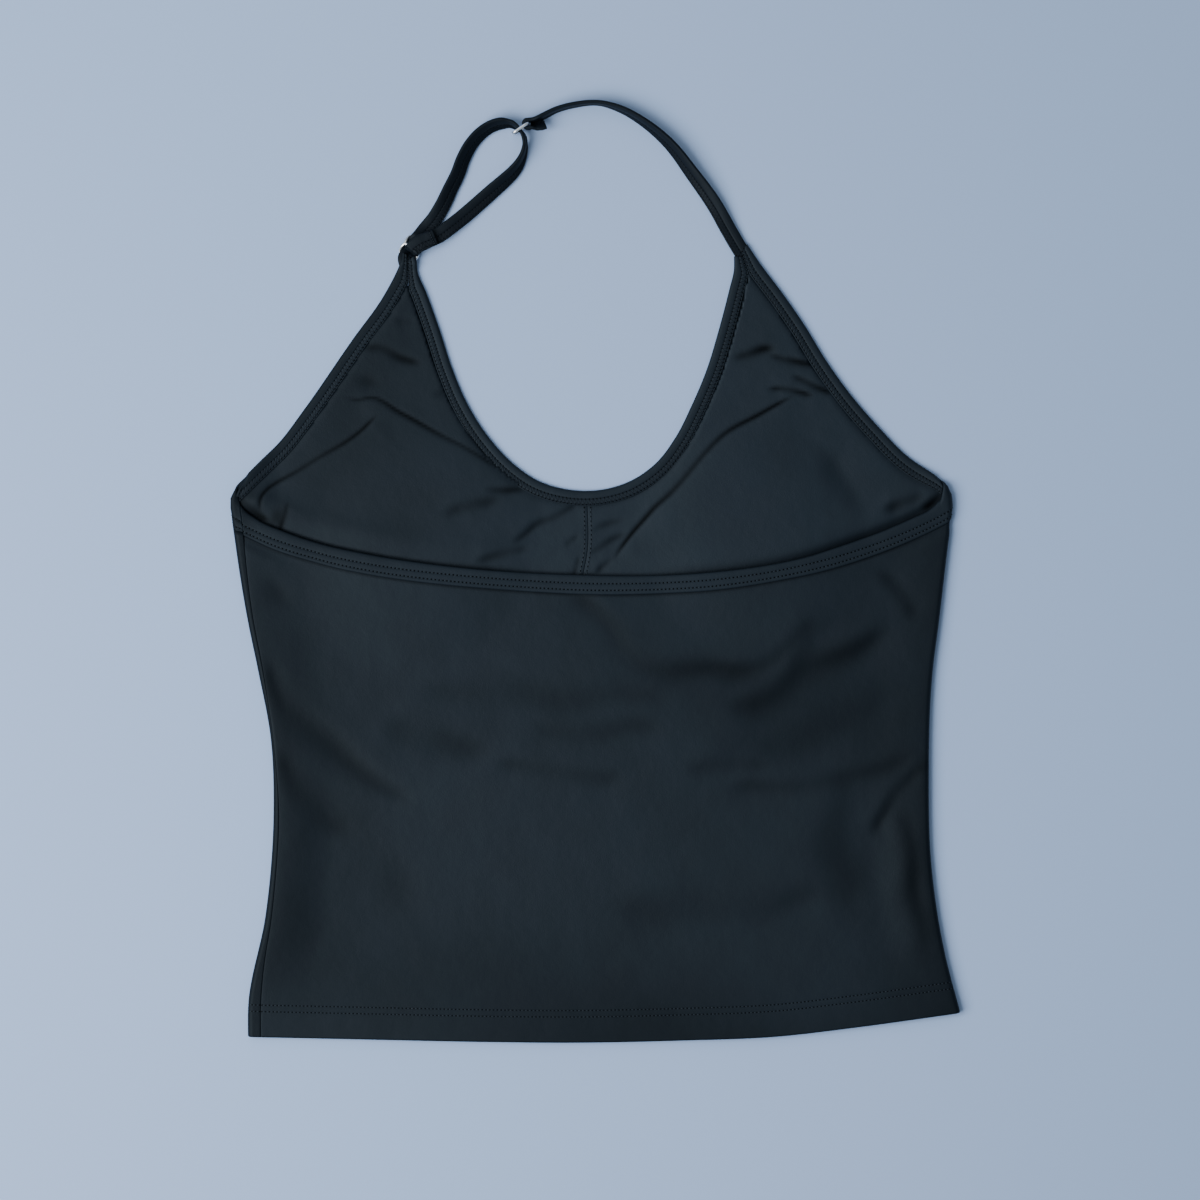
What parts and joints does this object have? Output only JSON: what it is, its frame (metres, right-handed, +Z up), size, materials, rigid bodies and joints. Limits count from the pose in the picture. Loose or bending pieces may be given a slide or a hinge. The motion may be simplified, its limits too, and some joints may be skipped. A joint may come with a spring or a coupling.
{
  "type": "sports tank top",
  "caption": "Cropped halter-neck sports tank top laid flat with its back up, low scooped back, lined front, bound edges and a looped neck strap with a small ring and slider.",
  "frame": {"origin": "on the surface the garment lies on, under the middle of its outline", "axes": "+X to the right, +Y from the hem towards the neck strap, +Z up off the surface; the back of the garment is uppermost"},
  "size_m": [0.3848, 0.4968, 0.0113],
  "materials": {
    "shell_knit": "matte knit",
    "lining_knit": "matte knit",
    "binding_knit": "matte knit",
    "trim_metal": "polished"
  },
  "bodies": {
    "root": {"front_panel": "shell_knit", "lining_left": "lining_knit", "lining_right": "lining_knit", "back_panel": "shell_knit", "neck_band": "binding_knit", "armhole_band_left": "binding_knit", "armhole_band_right": "binding_knit", "back_band": "binding_knit", "halter_strap": "binding_knit", "adjuster_strap": "binding_knit", "ring_upper": "trim_metal", "slider": "trim_metal"}
  },
  "joints": []
}
